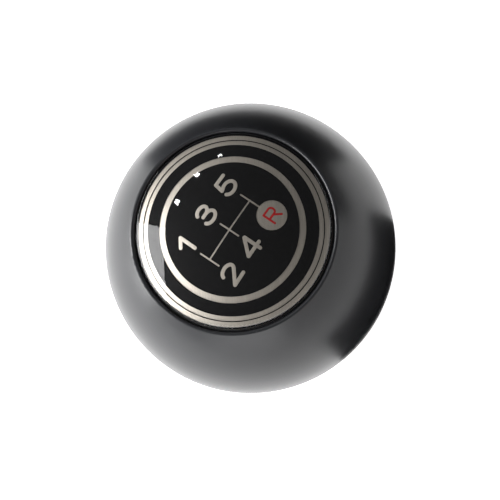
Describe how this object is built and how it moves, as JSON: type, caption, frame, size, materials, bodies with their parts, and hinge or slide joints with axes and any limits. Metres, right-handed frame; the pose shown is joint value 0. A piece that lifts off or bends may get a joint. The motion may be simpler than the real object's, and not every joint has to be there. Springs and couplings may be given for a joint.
{
  "type": "gear shift knob",
  "caption": "Satin black ball knob for a car's gear lever, with a threaded insert and a crowned, resin-covered shift-pattern badge.",
  "frame": {"origin": "centre of the neck's flat end, on the lever's axis", "axes": "+Z along the lever towards the badge, +Y towards the windscreen, +X to the right as the driver reads the pattern"},
  "size_m": [0.05, 0.05, 0.0487],
  "materials": {
    "grip_urethane": "satin",
    "insert_brass": "satin",
    "adhesive": "matte",
    "carrier_plastic": "satin",
    "plate_aluminium": "satin",
    "print_black": "gloss",
    "print_red": "gloss",
    "resin_clear": "gloss"
  },
  "bodies": {
    "root": {"grip": "grip_urethane", "threaded_insert": "insert_brass", "adhesive_tape": "adhesive", "badge_carrier": "carrier_plastic", "badge_plate": "plate_aluminium", "badge_ink": "print_black", "badge_dome": "resin_clear"}
  },
  "joints": []
}
